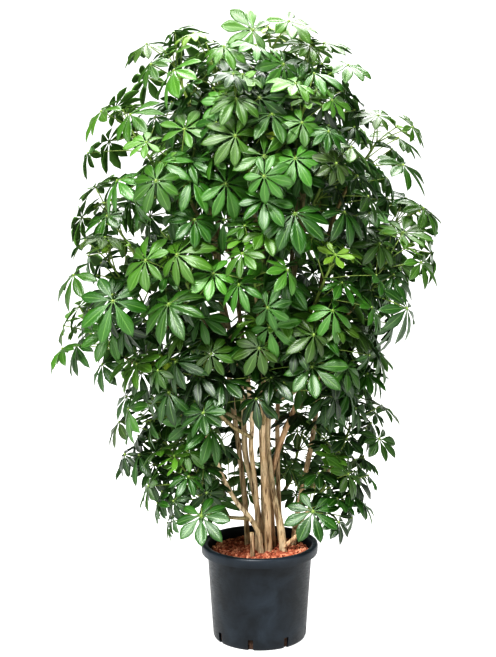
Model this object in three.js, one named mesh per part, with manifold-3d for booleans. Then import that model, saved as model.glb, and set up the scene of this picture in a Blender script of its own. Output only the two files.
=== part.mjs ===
// A potted umbrella plant, about 1.7 m tall. Ten bare woody stems stand in a black nursery pot, and carry leafy
// shoots. A shoot holds its leaves on long stalks, and a leaf is an umbrella of narrow leaflets round its stalk's end.
// Millimetres, +Z up. The origin is the middle of the pot's underside, and the plant's front looks along -Y.
import * as THREE from "three";
import { mergeVertices } from "three/addons/utils/BufferGeometryUtils.js";
import Module from "manifold-3d";

const wasm = await Module();
wasm.setup();

// The pot
const POT_HEIGHT = 265;
const RIM_RADIUS = 160;
const WALL_TOP_RADIUS = 144;
const WALL_FOOT_RADIUS = 128;
const WALL = 2.2;
const FLOOR = 3;
const FLOOR_RADIUS = 122;
const LIP_HEIGHT = 26;
const POT_SIDES = 32;
const SOIL_SIDES = 20;
const DRAIN_SLOTS = 8;
const DRAIN_WIDTH = 14;
const DRAIN_HEIGHT = 31;
const DRAIN_DEPTH = 12;
const DRAIN_TURN_DEG = -11;

// What fills the pot
const SOIL_TOP = 229;
const DRESSING_TOP = 243;
const GRANULE_BUMP = 2.4;
const GAP = 0.35;

// The leaves
const LEAFLETS = 5;
const LEAFLET_LENGTH = 106;
const LOW_SHOOT_HEIGHT = 620;
const LOW_SHOOT_LEAF_SHARE = 0.85;
const LEAFLET_HALF_WIDTH = 0.2;
const WIDEST_AT = 0.62;
const BACK_GAP_DEG = 64;
const NOTCH_RADIUS = 13;
const HUB_HALF_THICKNESS = 1.5;
const STALK_RADIUS = 1.9;
const LEAVES_ON_SHOOT = 5;
const LEAVES_ON_FRONT_SHOOT = 6;
const LOWEST_AIM = -0.12;
const LEAF_TURN_DEG = 137.5;
const FIRST_SEED = 32;

// The shoots
const AXIS_FOOT_RADIUS = 4.6;
const AXIS_TOP_RADIUS = 3.2;
const BRANCH_RADIUS = 5;
const STEM_SIDES = 6;
const BRANCH_SIDES = 4;
const AXIS_SIDES = 3;
const STALK_CLEARANCE = 1;
const HUB_SPACING = 72;
const TWISTS_DEG = [0, 28, -28, 56, -56, 84, -84];
const BARE_MIDDLE = 15;
const BARE_HALF_WIDTH = 115;
const BARE_TOP = 640;

// Each stem's course from its foot in the soil to where its last branch carries on, with its foot and top radius.
const STEMS = {
  left: {
    radii: [9, 5.5],
    course: [
      [2, 38, 205], [-6, 34, 346], [-36, 18, 489], [-42, 12, 560], [-46, 6, 666],
      [-75, 0, 820], [-110, 0, 1000], [-135, -5, 1200], [-160, -10, 1330],
    ],
  },
  left_front: {
    radii: [7, 5],
    course: [
      [-6, 8, 205], [-8, 8, 382], [-23, -8, 525], [-21, -20, 605], [-35, -45, 760],
      [-60, -75, 960], [-80, -90, 1160], [-90, -95, 1330],
    ],
  },
  middle: {
    radii: [11, 5.5],
    course: [
      [24, -5, 205], [22, -8, 346], [9, -18, 525], [8, -25, 634], [15, -50, 800],
      [10, -75, 1000], [5, -80, 1200], [15, -70, 1380],
    ],
  },
  right_front: {
    radii: [10.5, 5],
    course: [
      [66, -5, 205], [62, -4, 273], [50, 0, 346], [34, 6, 417], [24, 12, 506], [22, 16, 560],
      [30, 10, 700], [60, -20, 850], [90, -50, 1000], [110, -60, 1180], [122, -60, 1320],
    ],
  },
  right: {
    radii: [9.5, 5.5],
    course: [
      [38, 35, 205], [30, 36, 346], [28, 34, 410], [38, 28, 470], [65, 16, 560], [99, 4, 648],
      [111, 0, 690], [140, 0, 820], [165, 5, 980], [185, 8, 1110],
    ],
  },
  behind: {
    radii: [7, 4.8],
    course: [
      [58, 66, 205], [52, 60, 400], [49, 50, 560], [50, 50, 640], [60, 70, 800], [85, 95, 1000],
      [100, 105, 1200], [105, 110, 1330],
    ],
  },
  back: {
    radii: [8, 4.8],
    course: [[12, 78, 205], [10, 85, 400], [5, 100, 600], [5, 135, 1000], [12, 140, 1130]],
  },
  back_left: {
    radii: [8, 4.8],
    course: [
      [-32, 58, 205], [-45, 70, 400], [-95, 95, 800], [-110, 100, 1000], [-115, 100, 1200],
      [-110, 95, 1330],
    ],
  },
  back_right: {
    radii: [8, 5],
    course: [[92, 42, 205], [100, 48, 300], [125, 60, 430], [150, 75, 560], [165, 90, 700], [175, 100, 840]],
  },
  low_left: {
    radii: [8, 4.8],
    course: [
      [6, -24, 205], [4, -24, 250], [-3, -26, 296], [-29, -32, 346], [-63, -38, 388], [-97, -42, 453],
      [-130, -46, 540], [-165, -50, 630],
    ],
  },
};

// Old cut ends: one stands on its own in the soil, the other grows from the foot of the right front stem.
const STUB = { course: [[-19, -50, 205], [-21, -48, 306]], radii: [6.5, 5.5] };
const FORK = { course: [[65, -6, 250], [104, -14, 288]], radii: [6.5, 5.5] };

// Each shoot: the stem that it grows from, the height there, and the foot and top of its leafy axis. Where the height
// is the stem's own top, the stem runs on into the shoot.
const SHOOTS = [
  ["low_left", 340, [-146, -75, 392], [-198, -105, 494]],
  ["low_left", 430, [-222, 20, 480], [-285, 35, 580]],
  ["back_right", 290, [134, -66, 376], [190, -94, 472]],
  ["back_right", 380, [208, 15, 492], [255, 20, 598]],
  ["back", 330, [95, 190, 410], [125, 245, 520]],
  ["back_left", 340, [-120, 165, 430], [-160, 215, 540]],
  ["low_left", 630, [-210, -95, 650], [-258, -118, 742]],
  ["left", 600, [-365, 40, 770], [-465, 45, 840]],
  ["left_front", 560, [-130, -150, 700], [-155, -210, 800]],
  ["middle", 600, [20, -170, 740], [15, -230, 850]],
  ["right_front", 660, [118, -158, 760], [142, -213, 860]],
  ["right", 640, [165, -30, 695], [195, -45, 800]],
  ["back_right", 840, [250, 140, 930], [300, 170, 1035]],
  ["back", 560, [20, 230, 720], [20, 290, 830]],
  ["back_left", 560, [-190, 180, 700], [-240, 230, 800]],
  ["left", 800, [-320, -120, 950], [-385, -145, 1050]],
  ["left", 860, [-335, 75, 1045], [-405, 88, 1145]],
  ["left_front", 800, [-160, -198, 940], [-195, -258, 1040]],
  ["middle", 850, [-10, -235, 980], [-15, -295, 1080]],
  ["right_front", 860, [140, -200, 950], [175, -258, 1050]],
  ["right", 800, [262, -100, 950], [330, -120, 1050]],
  ["right", 900, [290, 45, 1040], [365, 55, 1135]],
  ["back_right", 600, [190, 180, 700], [230, 235, 800]],
  ["back", 830, [30, 250, 1000], [35, 315, 1100]],
  ["back_left", 820, [-200, 200, 960], [-250, 255, 1060]],
  ["left", 1060, [-275, -60, 1295], [-335, -80, 1392]],
  ["left_front", 1060, [-170, -185, 1200], [-205, -240, 1300]],
  ["middle", 1080, [-20, -210, 1220], [-30, -265, 1320]],
  ["right_front", 1040, [130, -185, 1180], [165, -235, 1280]],
  ["right", 1110, [240, -30, 1250], [305, -40, 1352]],
  ["behind", 1100, [190, 150, 1220], [235, 195, 1320]],
  ["back", 1130, [20, 215, 1250], [20, 270, 1350]],
  ["back_left", 1080, [-175, 170, 1230], [-220, 215, 1325]],
  ["left", 1330, [-182, -30, 1445], [-220, -40, 1548]],
  ["left_front", 1330, [-100, -110, 1430], [-115, -140, 1535]],
  ["left_front", 1240, [-45, -180, 1340], [-60, -225, 1440]],
  ["middle", 1380, [25, -75, 1478], [30, -90, 1582]],
  ["right_front", 1320, [112, -70, 1430], [118, -82, 1530]],
  ["right_front", 1200, [85, -170, 1320], [105, -215, 1420]],
  ["behind", 1330, [90, 105, 1430], [105, 135, 1530]],
  ["back_left", 1330, [-95, 105, 1430], [-115, 135, 1530]],
].map(([stem, height, foot, top]) => ({ stem, height, foot: vector(foot), top: vector(top) }));

const UP = new THREE.Vector3(0, 0, 1);
const CROWN_MIDDLE = new THREE.Vector3(-10, 0, 0);

const materials = {
  pot: new THREE.MeshStandardMaterial({ color: 0x2b3038, roughness: 0.55, metalness: 0 }),
  soil: new THREE.MeshStandardMaterial({ color: 0x2c1f17, roughness: 0.95, metalness: 0 }),
  granules: new THREE.MeshStandardMaterial({ color: 0x8a4632, roughness: 0.9, metalness: 0 }),
  bark: new THREE.MeshStandardMaterial({ color: 0xb09272, roughness: 0.8, metalness: 0 }),
  leaf: new THREE.MeshStandardMaterial({ color: 0x2c6a22, roughness: 0.4, metalness: 0 }),
};

function vector([x, y, z]) {
  return new THREE.Vector3(x, y, z);
}

function radians(degrees) {
  return (degrees * Math.PI) / 180;
}

// p + a * d for vectors
function along(p, a, d) {
  return p.clone().addScaledVector(d, a);
}

function mix(a, b, share) {
  return a + (b - a) * share;
}

// A seeded row of draws between 0 and 1
function seededDraws(seed) {
  const MODULUS = 4294967296;
  let state = (seed * 2654435 + 12345) % MODULUS;
  return () => {
    state = (state * 1664525 + 1013904223) % MODULUS;
    return state / MODULUS;
  };
}

// Turns a closed geometry into a solid, and back
function solidOf(geometry) {
  const bare = new THREE.BufferGeometry().setAttribute("position", geometry.getAttribute("position"));
  bare.setIndex(geometry.index);
  const merged = mergeVertices(bare, 1e-3);
  return new wasm.Manifold(
    new wasm.Mesh({
      numProp: 3,
      vertProperties: merged.attributes.position.array,
      triVerts: new Uint32Array(merged.index.array),
    }),
  );
}

function geometryOf(solid) {
  const { numProp, numVert, vertProperties, triVerts } = solid.getMesh();
  const positions = new Float32Array(numVert * 3);
  for (let i = 0; i < numVert; i++) positions.set(vertProperties.subarray(i * numProp, i * numProp + 3), i * 3);
  const geometry = new THREE.BufferGeometry();
  geometry.setAttribute("position", new THREE.BufferAttribute(positions, 3));
  geometry.setIndex(new THREE.BufferAttribute(triVerts, 1));
  geometry.computeVertexNormals();
  return geometry;
}

function geometryFrom(points, triangles) {
  const geometry = new THREE.BufferGeometry().setFromPoints(points);
  geometry.setIndex(triangles.flat());
  return geometry;
}

function union(solids) {
  return solids.reduce((joined, solid) => joined.add(solid));
}

// A closed tube of flat-sided rings round the points, with a radius for each point. Its last ring looks along `aim`.
function tube(points, radii, sides, aim) {
  const corners = [];
  const triangles = [];
  let side = null;
  points.forEach((point, i) => {
    const ahead = points[i + 1] || point;
    const behind = points[i - 1] || point;
    const tangent = aim && ahead === point ? aim : ahead.clone().sub(behind).normalize();
    if (!side) side = new THREE.Vector3(Math.abs(tangent.x) < 0.9 ? 1 : 0, Math.abs(tangent.x) < 0.9 ? 0 : 1, 0);
    side = along(side, -side.dot(tangent), tangent).normalize();
    const other = tangent.clone().cross(side);
    for (let k = 0; k < sides; k++) {
      const angle = (2 * Math.PI * k) / sides;
      corners.push(along(along(point, radii[i] * Math.cos(angle), side), radii[i] * Math.sin(angle), other));
    }
  });
  const last = (points.length - 1) * sides;
  for (let ring = 0; ring < last; ring += sides) {
    for (let k = 0; k < sides; k++) {
      const next = (k + 1) % sides;
      triangles.push([ring + k, ring + next, ring + sides + next], [ring + k, ring + sides + next, ring + sides + k]);
    }
  }
  for (let k = 2; k < sides; k++) triangles.push([0, k, k - 1], [last, last + k - 1, last + k]);
  return solidOf(geometryFrom(corners, triangles));
}

// A solid of revolution about Z, from [radius, height] pairs
function turned(profile, sides) {
  const points = profile.map(([r, z]) => new THREE.Vector2(r, z));
  return new THREE.LatheGeometry(points, sides).rotateX(Math.PI / 2);
}

// The pot: a tapered wall with a rolled-down lip and a flat floor, and drain slots round the foot.
function makePot() {
  const top = POT_HEIGHT;
  const lipFoot = top - LIP_HEIGHT;
  const inner = WALL_TOP_RADIUS - WALL;
  const profile = [
    [0, 0], [WALL_FOOT_RADIUS - 6, 0], [WALL_FOOT_RADIUS, 6], [WALL_TOP_RADIUS, lipFoot + 14],
    [RIM_RADIUS - 5, lipFoot + 14], [RIM_RADIUS - 3.5, lipFoot], [RIM_RADIUS - 1, lipFoot], [RIM_RADIUS, top - 6],
    [RIM_RADIUS - 4, top], [inner + 4, top], [inner, top - 6], [FLOOR_RADIUS, FLOOR], [0, FLOOR],
  ];
  let pot = solidOf(turned(profile, POT_SIDES));
  for (let i = 0; i < DRAIN_SLOTS; i++) {
    const slot = new THREE.BoxGeometry(DRAIN_WIDTH, 2 * DRAIN_DEPTH, 2 * DRAIN_HEIGHT)
      .translate(0, -WALL_FOOT_RADIUS, 0)
      .rotateZ(radians(DRAIN_TURN_DEG + (360 * i) / DRAIN_SLOTS));
    pot = pot.subtract(solidOf(slot));
  }
  return pot;
}

// How far out the filling may reach inside the pot's flat-sided wall
function innerRadius(z) {
  const wall = mix(FLOOR_RADIUS, WALL_TOP_RADIUS - WALL, (z - FLOOR) / (POT_HEIGHT - 6 - FLOOR));
  return wall * Math.cos(Math.PI / POT_SIDES) - GAP;
}

function makeSoil(holes) {
  const low = FLOOR + GAP;
  const profile = [[0, low], [innerRadius(low), low], [innerRadius(SOIL_TOP), SOIL_TOP], [0, SOIL_TOP]];
  return solidOf(turned(profile, SOIL_SIDES)).subtract(holes);
}

// The red-brown granules on top: one layer with a lumpy surface, which falls away a little to the wall.
function makeDressing(holes) {
  const low = SOIL_TOP + GAP;
  const edge = innerRadius(DRESSING_TOP);
  const rings = [0.6].map((share) => [edge * share, DRESSING_TOP]);
  const profile = [[0, low], [innerRadius(low), low], [edge - 0.5, DRESSING_TOP - 3], ...rings, [0, DRESSING_TOP]];
  const layer = turned(profile, SOIL_SIDES);
  const spots = layer.getAttribute("position");
  for (let i = 0; i < spots.count; i++) {
    const [x, y, z] = [spots.getX(i), spots.getY(i), spots.getZ(i)];
    const bump = Math.sin(x / 5.3) * Math.cos(y / 4.7) + Math.sin((x + 2 * y) / 7.1) * 0.6;
    if (z > DRESSING_TOP - 1) spots.setZ(i, z + GRANULE_BUMP * bump);
  }
  return solidOf(layer).subtract(holes);
}

// The point of a course at a height, between its two nearest points
function pointAtHeight(course, z) {
  const i = Math.max(1, course.findIndex((p) => p.z >= z));
  const share = (z - course[i - 1].z) / (course[i].z - course[i - 1].z);
  return course[i - 1].clone().lerp(course[i], share);
}

function stemRadii({ course, radii }, wider = 0) {
  return course.map((_, i) => mix(radii[0], radii[1], i / (course.length - 1)) + wider);
}

function axisOf(shoot) {
  return shoot.top.clone().sub(shoot.foot).normalize();
}

// A branch leaves its stem outwards and bends up into the line of its leafy axis.
function branchPoints(shoot) {
  const start = pointAtHeight(STEMS[shoot.stem].course, shoot.height);
  const reach = shoot.foot.distanceTo(start);
  const bend = along(shoot.foot, -0.4 * reach, axisOf(shoot));
  return [0, 0.55, 1].map((t) =>
    start.clone().multiplyScalar((1 - t) ** 2).addScaledVector(bend, 2 * t * (1 - t)).addScaledVector(shoot.foot, t * t),
  );
}

// A solid with its box, and the leaf or shoot that it belongs to
function boxed(solid, leaf, shoot) {
  const { min, max } = solid.boundingBox();
  return { solid, box: new THREE.Box3(vector(min), vector(max)), leaf, shoot };
}

// Whether a solid crosses any of the others that aren't passed over
function crossesAny(one, others, passOver) {
  return others.some(
    (other) => !passOver(other) && other.box.intersectsBox(one.box) && other.solid.intersect(one.solid).volume() > 1e-4,
  );
}

// Places the leaves of every shoot. A leaf turns about its axis until its stalk and hub are clear of what is there
// already, and its hub stands well off the other hubs. No leaf hangs in front of the bare stems.
function placeLeaves(obstacles) {
  const leaves = [];
  SHOOTS.forEach((shoot, index) => {
    const draw = seededDraws(index + FIRST_SEED);
    const axis = axisOf(shoot);
    const right = axis.clone().cross(UP).normalize();
    const other = axis.clone().cross(right);
    const outward = shoot.top.clone().sub(CROWN_MIDDLE).setZ(0).normalize();
    const firstTurn = 360 * draw();
    const count = shoot.foot.y < -200 ? LEAVES_ON_FRONT_SHOOT : LEAVES_ON_SHOOT;
    const longest = LEAFLET_LENGTH * (shoot.top.z < LOW_SHOOT_HEIGHT ? LOW_SHOOT_LEAF_SHARE : 1);
    for (let i = 0; i < count; i++) {
      const share = i / (count - 1);
      const start = shoot.foot.clone().lerp(shoot.top, 0.12 + 0.84 * share);
      const spread = radians(mix(84, 30, share) + 10 * (draw() - 0.5));
      const stalk = mix(152, 92, share) * (0.85 + 0.3 * draw());
      const size = longest * mix(1, 0.86, share) * (0.66 + 0.42 * draw());
      const sway = vector([draw() - 0.5, draw() - 0.5, draw() - 0.5]);
      const droop = 0.02 + 0.32 * draw();
      const facing = mix(0.35, 0.9, draw());
      let best = null;
      for (const twist of TWISTS_DEG) {
        const turn = radians(firstTurn + LEAF_TURN_DEG * i + twist);
        const reach = along(right.clone().multiplyScalar(Math.cos(turn)), Math.sin(turn), other);
        const aim = along(axis.clone().multiplyScalar(Math.cos(spread)), Math.sin(spread), reach);
        aim.addScaledVector(outward, 0.35).addScaledVector(UP, 0.12).normalize();
        aim.setZ(Math.max(aim.z, LOWEST_AIM)).normalize();
        const hub = along(start, stalk, aim);
        if (hub.z < BARE_TOP && hub.y < 0 && Math.abs(hub.x - BARE_MIDDLE) < BARE_HALF_WIDTH) continue;
        const normal = along(aim.clone().multiplyScalar(facing), 0.3, outward);
        normal.addScaledVector(UP, 0.6).addScaledVector(sway, 0.8).normalize();
        while (normal.dot(aim) < 0.5) normal.addScaledVector(aim, 0.2).normalize();
        const front = along(aim, -aim.dot(normal), normal).normalize();
        const left = normal.clone().cross(front);
        const leaf = { index, start, hub, aim, normal, front, left, size, droop };
        const apart = leaves.reduce((least, other) => Math.min(least, other.hub.distanceTo(hub)), HUB_SPACING);
        if (best && apart < best.apart + 1) continue;
        leaf.core = boxed(leafSolid({ ...leaf, stalk: STALK_RADIUS + STALK_CLEARANCE }, []), leaf);
        if (!crossesAny(leaf.core, obstacles, (obstacle) => obstacle.shoot === index)) best = { leaf, apart };
      }
      if (!best) continue;
      leaves.push(best.leaf);
      obstacles.push({ ...best.leaf.core, leaf: best.leaf });
    }
  });
  return leaves;
}

// The direction in the leaf's own plane at an angle from its front
function spoke(leaf, angle) {
  return along(leaf.front.clone().multiplyScalar(Math.cos(angle)), Math.sin(angle), leaf.left);
}

// The corners of one leaflet: its two widest points and its tip. It arches down from the hub, folded along its rib.
function leafletCorners(leaf, angle) {
  const out = spoke(leaf, angle);
  const across = leaf.normal.clone().cross(out);
  const length = leaf.size * (0.7 + 0.3 * Math.cos(angle / 2) ** 2);
  const rib = (t) => {
    const drop = length * leaf.droop * (0.3 * t + 0.7 * t * t);
    return along(along(leaf.hub, 0.95 * length * t, out), -drop, leaf.normal);
  };
  const middle = rib(WIDEST_AT);
  const half = length * LEAFLET_HALF_WIDTH;
  const edge = (sign) => along(along(middle, sign * half, across), 0.22 * half, leaf.normal);
  return [edge(-1), rib(1), edge(1)];
}

// The point between two leaflets, close to the hub
function notch(leaf, angle) {
  const lowered = along(leaf.hub, -0.3 * leaf.droop * NOTCH_RADIUS, leaf.normal);
  return along(lowered, NOTCH_RADIUS, spoke(leaf, angle));
}

const LEAFLET_STEP = radians((360 - BACK_GAP_DEG) / (LEAFLETS - 1));
const leafletAngles = Array.from({ length: LEAFLETS }, (_, i) => radians(BACK_GAP_DEG / 2 - 180) + i * LEAFLET_STEP);

// Keeps the leaflets that cross nothing. The outermost leaves are settled first, so the outside stays full.
function settleLeaflets(leaves, obstacles) {
  const reach = (leaf) => Math.hypot(leaf.hub.x, leaf.hub.y, 0.6 * (leaf.hub.z - 950));
  for (const leaf of [...leaves].sort((a, b) => reach(b) - reach(a))) {
    leaf.kept = [];
    for (const angle of leafletAngles) {
      const trial = boxed(leafSolid(leaf, [angle]), leaf);
      if (crossesAny(trial, obstacles, ({ leaf: its, shoot }) => its === leaf || shoot === leaf.index)) continue;
      leaf.kept.push(angle);
      obstacles.push(trial);
    }
  }
}

// A leaf: its blade is one arched star, cut to the hub between the leaflets at the angles given, with its stalk's
// three sides running out of the underside.
function leafSolid(leaf, angles) {
  const { normal, hub } = leaf;
  const stalk = leaf.stalk || STALK_RADIUS;
  const outline = [];
  (angles.length ? angles : [0]).forEach((angle, i, all) => {
    if (angles.length) outline.push(...leafletCorners(leaf, angle));
    const next = i + 1 < all.length ? all[i + 1] : all[0] + 2 * Math.PI;
    const notches = Math.max(1, Math.round((next - angle) / LEAFLET_STEP));
    for (let k = 0; k < notches; k++) outline.push(notch(leaf, mix(angle, next, (k + 0.5) / notches)));
  });
  const points = [...outline, along(hub, HUB_HALF_THICKNESS, normal)];
  const topMiddle = outline.length;
  const under = along(hub, -HUB_HALF_THICKNESS, normal);
  const ringAngles = [0, 120, 240].map((degrees) => radians(degrees) + Math.PI);
  const ring = points.length;
  for (const angle of ringAngles) points.push(along(under, stalk, spoke(leaf, angle)));
  const foot = points.length;
  for (const angle of ringAngles) {
    const out = spoke(leaf, angle);
    const across = along(out, -out.dot(leaf.aim), leaf.aim).normalize();
    points.push(along(along(leaf.start, 1.2, leaf.aim), 0.6 * stalk, across));
  }
  // The ring corner that an outline point looks to, by its angle round the hub.
  const cornerAt = (point) => {
    const from = point.clone().sub(hub);
    const turn = Math.atan2(from.dot(leaf.left), from.dot(leaf.front)) - Math.PI;
    return ((Math.round(turn / radians(120)) % 3) + 3) % 3;
  };
  const triangles = [];
  outline.forEach((point, i) => {
    const next = (i + 1) % outline.length;
    const [a, b] = [cornerAt(point), cornerAt(outline[next])];
    triangles.push([topMiddle, i, next], [ring + a, next, i]);
    if (a !== b) triangles.push([ring + a, ring + b, next]);
  });
  for (let k = 0; k < 3; k++) {
    const next = (k + 1) % 3;
    triangles.push([ring + k, foot + k, foot + next], [ring + k, foot + next, ring + next]);
  }
  triangles.push([foot + 2, foot + 1, foot]);
  return solidOf(geometryFrom(points, triangles));
}

// Stems and their branches, which everything else keeps clear of
for (const stem of Object.values(STEMS)) stem.course = stem.course.map(vector);
for (const cut of [STUB, FORK]) cut.course = cut.course.map(vector);

const potSolid = makePot();
const stub = tube(STUB.course, STUB.radii, STEM_SIDES);
const obstacles = [boxed(potSolid), boxed(stub)];
const woods = {};
const feet = [STUB, ...Object.values(STEMS)].map((stem) => {
  const [lowest, ...others] = stem.course;
  return tube([along(lowest, -GAP, UP), ...others], stemRadii(stem, 1.4 * GAP), STEM_SIDES);
});
for (const [name, stem] of Object.entries(STEMS)) {
  const leader = SHOOTS.find((shoot) => shoot.stem === name && shoot.height === stem.course.at(-1).z);
  const points = [...stem.course, ...branchPoints(leader).slice(1)];
  const radii = [...stemRadii(stem), 5, AXIS_FOOT_RADIUS];
  woods[name] = [tube(points, radii, STEM_SIDES, axisOf(leader))];
  obstacles.push(boxed(woods[name][0]));
}
woods.right_front.push(tube(FORK.course, FORK.radii, STEM_SIDES));
obstacles.push(boxed(woods.right_front[1]));
const stalks = SHOOTS.map((shoot, index) => {
  if (shoot.height < STEMS[shoot.stem].course.at(-1).z) {
    const radii = [BRANCH_RADIUS, 4.6, AXIS_FOOT_RADIUS];
    const branch = tube(branchPoints(shoot), radii, BRANCH_SIDES, axisOf(shoot));
    woods[shoot.stem].push(branch);
    obstacles.push(boxed(branch));
  }
  const foot = along(shoot.foot, GAP, axisOf(shoot));
  const stalk = tube([foot, shoot.top], [AXIS_FOOT_RADIUS, AXIS_TOP_RADIUS], AXIS_SIDES);
  obstacles.push(boxed(stalk, null, index));
  return stalk;
});
const leaves = placeLeaves(obstacles);
settleLeaflets(leaves, obstacles);

// The finished plant
const plant = new THREE.Group();
plant.name = "potted_umbrella_plant";

function addMesh(name, solid, material, place = new THREE.Vector3()) {
  const geometry = geometryOf(solid).translate(-place.x, -place.y, -place.z);
  const mesh = new THREE.Mesh(geometry, material);
  mesh.name = name;
  mesh.position.copy(place);
  plant.add(mesh);
}

const holes = union(feet);
addMesh("pot", potSolid, materials.pot);
addMesh("soil", makeSoil(holes), materials.soil);
addMesh("granule_dressing", makeDressing(holes), materials.granules);
addMesh("cut_stub", stub, materials.bark);
for (const [name, pieces] of Object.entries(woods)) {
  addMesh(`stem_${name}`, union(pieces), materials.bark, STEMS[name].course[0]);
}
SHOOTS.forEach((shoot, index) => {
  const blades = leaves.filter((leaf) => leaf.index === index && leaf.kept.length > 1);
  const name = `leafy_shoot_${String(index + 1).padStart(2, "0")}`;
  const solid = union([stalks[index], ...blades.map((leaf) => leafSolid(leaf, leaf.kept))]);
  addMesh(name, solid, materials.leaf, shoot.foot);
});

export default plant;
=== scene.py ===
import math
import random
import bmesh
import bpy
from mathutils import Matrix, Vector
from mathutils.kdtree import KDTree


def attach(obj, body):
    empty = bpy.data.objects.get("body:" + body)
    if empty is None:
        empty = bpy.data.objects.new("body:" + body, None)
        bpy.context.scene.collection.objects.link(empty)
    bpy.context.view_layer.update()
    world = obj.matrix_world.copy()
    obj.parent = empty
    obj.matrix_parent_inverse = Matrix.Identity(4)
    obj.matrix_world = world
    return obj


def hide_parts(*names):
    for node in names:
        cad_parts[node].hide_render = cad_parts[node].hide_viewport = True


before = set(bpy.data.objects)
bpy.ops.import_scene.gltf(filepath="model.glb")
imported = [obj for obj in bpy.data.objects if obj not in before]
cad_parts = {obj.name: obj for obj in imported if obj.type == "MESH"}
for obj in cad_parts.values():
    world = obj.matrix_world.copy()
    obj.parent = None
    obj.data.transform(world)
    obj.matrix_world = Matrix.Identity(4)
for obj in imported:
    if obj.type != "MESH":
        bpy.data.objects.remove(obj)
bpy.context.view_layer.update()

# The studio: a pale floor, white light from low down all round, and a camera level with the upper crown, which
# looks down a little, as the photograph's does. A large soft light stands high at the front left, one hangs
# over the crown, and a weak one fills the shadows from the front right.
SENSOR_MM = 36
FOCAL_PX = 1319
PICTURE_PX = (496, 657)
POT_RIGHT_OF_MIDDLE_PX = 11.6
CAMERA_PLACE = (0, -3.5, 1.362)
CAMERA_DIP_DEG = 8.23
SIGHT_REACH = 100
KEY_WIDTH_DEG = 14
FLOOR_HALF_WIDTH = 12


def linear(hex_colour):
    channels = [int(hex_colour[i:i + 2], 16) / 255 for i in (1, 3, 5)]
    return [c / 12.92 if c < 0.04045 else ((c + 0.055) / 1.055) ** 2.4 for c in channels] + [1]


# Adds a node. A setting is the node's own or a socket's value, and a link named i6 goes to socket 6.
def node(material, kind, settings=(), **links):
    made = material.node_tree.nodes.new(kind)
    for name, value in dict(settings).items():
        if isinstance(name, str) and hasattr(made, name):
            setattr(made, name, value)
        else:
            made.inputs[name].default_value = value
    for name, source in links.items():
        socket = int(name[1:]) if name[1:].isdigit() else name.replace("_", " ")
        material.node_tree.links.new(source, made.inputs[socket])
    return made


def new_material(name, roughness, **settings):
    material = bpy.data.materials.new(name)
    material.use_nodes = True
    shader = material.node_tree.nodes["Principled BSDF"]
    shader.inputs["Roughness"].default_value = roughness
    for socket, value in settings.items():
        shader.inputs[socket.replace("_", " ")].default_value = value
    return material, shader


def join_shader(material, shader, **links):
    for name, source in links.items():
        material.node_tree.links.new(source, shader.inputs[name.replace("_", " ")])


camera = bpy.data.objects.new("camera", bpy.data.cameras.new("camera"))
bpy.context.scene.collection.objects.link(camera)
bpy.context.scene.camera = camera
camera.location = CAMERA_PLACE
camera.rotation_euler = (math.radians(90 - CAMERA_DIP_DEG), 0, 0)
camera.data.sensor_width = SENSOR_MM
camera.data.lens = SENSOR_MM * FOCAL_PX / max(PICTURE_PX)
camera.data.shift_x = -POT_RIGHT_OF_MIDDLE_PX / max(PICTURE_PX)
camera.data.clip_end = SIGHT_REACH

bpy.context.scene.view_settings.view_transform = "Standard"
bpy.context.scene.view_settings.look = "High Contrast"
world = bpy.data.worlds.new("studio")
bpy.context.scene.world = world
world.use_nodes = True
sky_way = node(world, "ShaderNodeTexCoord")
sky_part = node(world, "ShaderNodeSeparateXYZ", Vector=sky_way.outputs["Generated"])
sky_low = node(
    world, "ShaderNodeMapRange",
    {"interpolation_type": "SMOOTHSTEP", "From Min": 0.1, "From Max": 0.22, "To Min": 1.0, "To Max": 0.1},
    Value=sky_part.outputs["Z"],
)
world.node_tree.links.new(sky_low.outputs["Result"], world.node_tree.nodes["Background"].inputs["Strength"])
world.node_tree.nodes["Background"].inputs["Color"].default_value = linear("#ffffff")


def add_light(name, kind, toward, energy, place=(0, 0, 0), **settings):
    lamp = bpy.data.objects.new(name, bpy.data.lights.new(name, kind))
    lamp.data.energy = energy
    for setting, value in settings.items():
        setattr(lamp.data, setting, value)
    lamp.location = place
    lamp.rotation_euler = Vector(toward).to_track_quat("-Z", "Y").to_euler()
    bpy.context.scene.collection.objects.link(lamp)


add_light("key", "SUN", (0.3, 0.78, -1.2), 4.4, angle=math.radians(KEY_WIDTH_DEG))
add_light("softbox", "AREA", (2.3, 3.4, -2.3), 155, (-2.3, -3.4, 3.2), size=2.6)
add_light("overhead", "AREA", (0, -0.35, -1), 165, (0.2, 1.3, 3.6), size=2.4)
add_light("fill", "AREA", (-2.6, 2.8, -0.4), 34, (2.6, -2.8, 1.2), size=2)


def finish_piece(name, bm, materials, smooth=True):
    mesh = bpy.data.meshes.new(name)
    bm.to_mesh(mesh)
    bm.free()
    for material in materials:
        mesh.materials.append(material)
    for face in mesh.polygons:
        face.use_smooth = smooth
    piece = bpy.data.objects.new(name, mesh)
    bpy.context.scene.collection.objects.link(piece)
    return piece


floor_bm = bmesh.new()
bmesh.ops.create_grid(floor_bm, x_segments=1, y_segments=1, size=FLOOR_HALF_WIDTH)
# Matt white paint that glows a little, so that the floor goes pale into the background.
floor_paint, floor_shader = new_material("pale_floor_paint", 0.9, Emission_Strength=0.72)
floor_shader.inputs["Base Color"].default_value = linear("#8c8c8a")
floor_shader.inputs["Emission Color"].default_value = linear("#ffffff")
finish_piece("floor", floor_bm, [floor_paint])

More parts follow.
